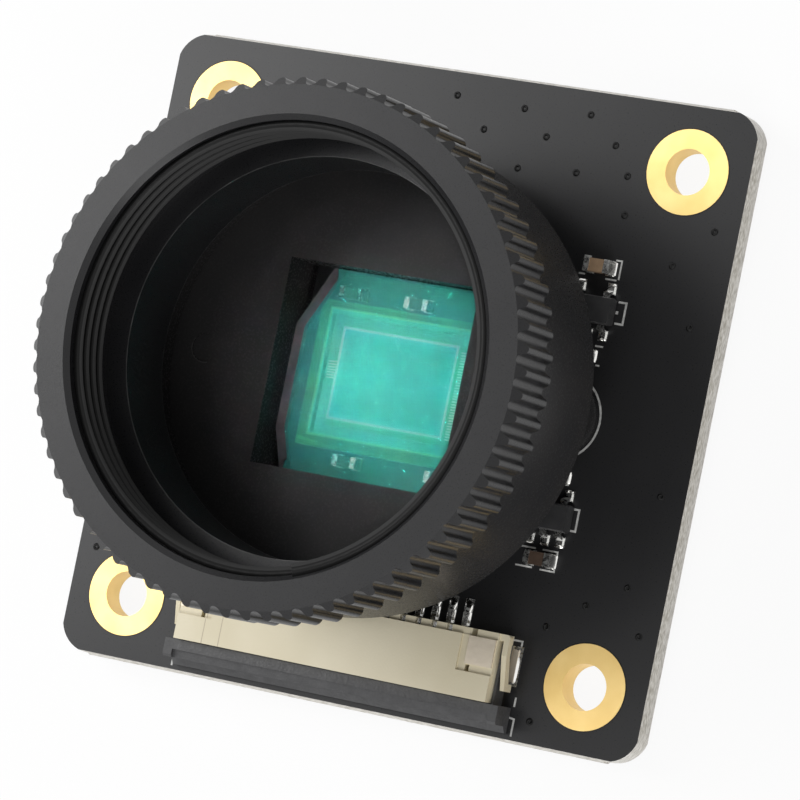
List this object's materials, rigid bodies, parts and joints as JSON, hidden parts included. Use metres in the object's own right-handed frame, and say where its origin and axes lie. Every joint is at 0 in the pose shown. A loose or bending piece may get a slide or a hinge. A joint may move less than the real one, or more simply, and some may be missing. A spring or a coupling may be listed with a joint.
{
  "type": "board camera module",
  "caption": "Square board camera module with a round lens holder, a knurled screw-in lens adapter ring, a filter over the image sensor and a ribbon-cable connector.",
  "frame": {"origin": "centre of the four mounting holes on the back face of the board", "axes": "+Z along the lens axis towards the lens, +X to the right and +Y up with the ribbon connector at the -Y edge"},
  "size_m": [0.038, 0.038, 0.0202],
  "materials": {
    "board_mask": "satin black solder mask over glass fibre",
    "gold_plating": "thin gold over copper, soft sheen",
    "tinned_copper": "tinned, slightly uneven",
    "holder_plastic": "moulded black, smooth",
    "screw_steel": "nickel-plated",
    "ring_black": "fine matt black anodised metal",
    "filter_glass": "polished blue-green absorbing glass",
    "package_body": "green laminate",
    "silicon": "polished silicon with a colour-filter sheen",
    "cover_glass": "clear polished glass",
    "capacitor_brown": "dark brown ceramic",
    "tinned_ends": "tin, soft sheen",
    "cream_plastic": "moulded cream plastic",
    "contact_metal": "tinned spring metal",
    "lock_plastic": "spark-eroded black plastic",
    "capacitor_tan": "tan ceramic",
    "chip_epoxy": "black moulding compound"
  },
  "bodies": {
    "board": {"circuit_board": "board_mask", "hole_plating": "gold_plating", "solder_pads": "tinned_copper", "lens_holder": "holder_plastic", "holder_screws": "screw_steel", "ir_filter": "filter_glass", "sensor_package": "package_body", "sensor_die": "silicon", "sensor_cover_glass": "cover_glass", "sensor_capacitors": "capacitor_brown", "sensor_capacitor_ends": "tinned_ends", "fpc_housing": "cream_plastic", "fpc_contacts": "contact_metal", "fpc_hold_downs": "contact_metal", "capacitor_upper": "capacitor_tan", "capacitor_upper_ends": "tinned_ends", "capacitor_lower": "capacitor_brown", "capacitor_lower_ends": "tinned_ends", "regulator_upper": "chip_epoxy", "regulator_upper_leads": "tinned_ends", "regulator_lower": "chip_epoxy", "regulator_lower_leads": "tinned_ends", "chip_resistors": "chip_epoxy", "chip_resistor_ends": "tinned_ends"},
    "ring": {"adapter_ring": "ring_black"},
    "lock": {"fpc_slide_lock": "lock_plastic"}
  },
  "joints": [
    {"name": "ring_turn", "type": "hinge", "parent": "board", "child": "ring", "pos_m": [0, 0, 0.0142], "axis": [0, 0, 1], "continuous": true},
    {"name": "lock_slide", "type": "slide", "parent": "board", "child": "lock", "axis": [0, -1, 0], "range_m": [0, 0.001]}
  ]
}
